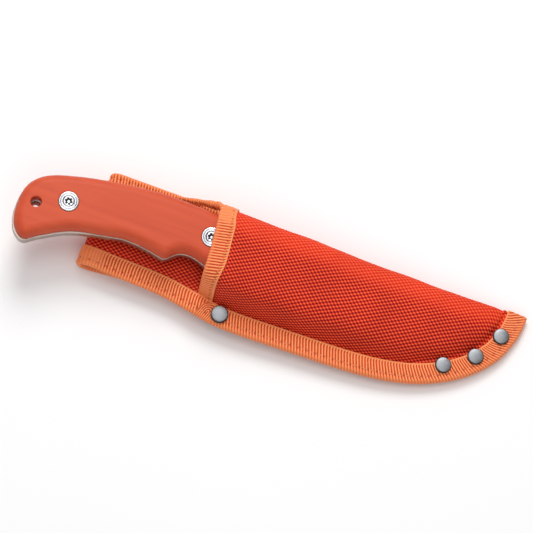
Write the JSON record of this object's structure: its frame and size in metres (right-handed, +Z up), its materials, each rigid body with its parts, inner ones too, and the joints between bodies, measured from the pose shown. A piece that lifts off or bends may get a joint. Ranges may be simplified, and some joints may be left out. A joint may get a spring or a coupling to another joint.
{
  "type": "rigging knife with belt sheath",
  "caption": "Fixed-blade belt knife with a drooping orange handle and a finger notch, seated in a folded orange nylon sheath with taped edges, rivets and a belt loop.",
  "frame": {"origin": "on the ground under the middle of the whole object's box", "axes": "+X along the sheath from the handle end to the tip, +Y towards the straight folded side of the sheath, +Z up from the ground through the front of the sheath"},
  "size_m": [0.2476, 0.0576, 0.0351],
  "materials": {
    "sheath_cloth": "coarse woven orange nylon",
    "binding_tape": "ribbed light orange binding tape",
    "liner_plastic": "thin black sheet",
    "rivet_metal": "satin nickel",
    "blade_steel": "satin ground",
    "scale_plastic": "smooth matte orange",
    "fastener_steel": "polished turned stainless"
  },
  "bodies": {
    "sheath": {"sheath_back_panel": "sheath_cloth", "sheath_front_panel": "sheath_cloth", "belt_loop": "sheath_cloth", "blade_liner": "liner_plastic", "belly_binding": "binding_tape", "mouth_binding": "binding_tape", "upper_edge_binding": "binding_tape", "lower_edge_binding": "binding_tape", "mouth_rivet_cap": "rivet_metal", "mouth_rivet_post": "rivet_metal", "belly_rivet_1_cap": "rivet_metal", "belly_rivet_1_post": "rivet_metal", "belly_rivet_2_cap": "rivet_metal", "belly_rivet_2_post": "rivet_metal", "belly_rivet_3_cap": "rivet_metal", "belly_rivet_3_post": "rivet_metal"},
    "knife": {"blade_tang": "blade_steel", "front_scale": "scale_plastic", "rear_scale": "scale_plastic", "rear_sleeve": "fastener_steel", "rear_screw_near": "fastener_steel", "rear_screw_far": "fastener_steel", "rear_washer_near": "fastener_steel", "rear_washer_far": "fastener_steel", "front_sleeve": "fastener_steel", "front_screw_near": "fastener_steel", "front_screw_far": "fastener_steel", "front_washer_near": "fastener_steel", "front_washer_far": "fastener_steel"}
  },
  "joints": [
    {"name": "knife_draw", "type": "slide", "parent": "sheath", "child": "knife", "axis": [-0.9955, 0, 0.0951], "range_m": [0, 0.2]}
  ]
}
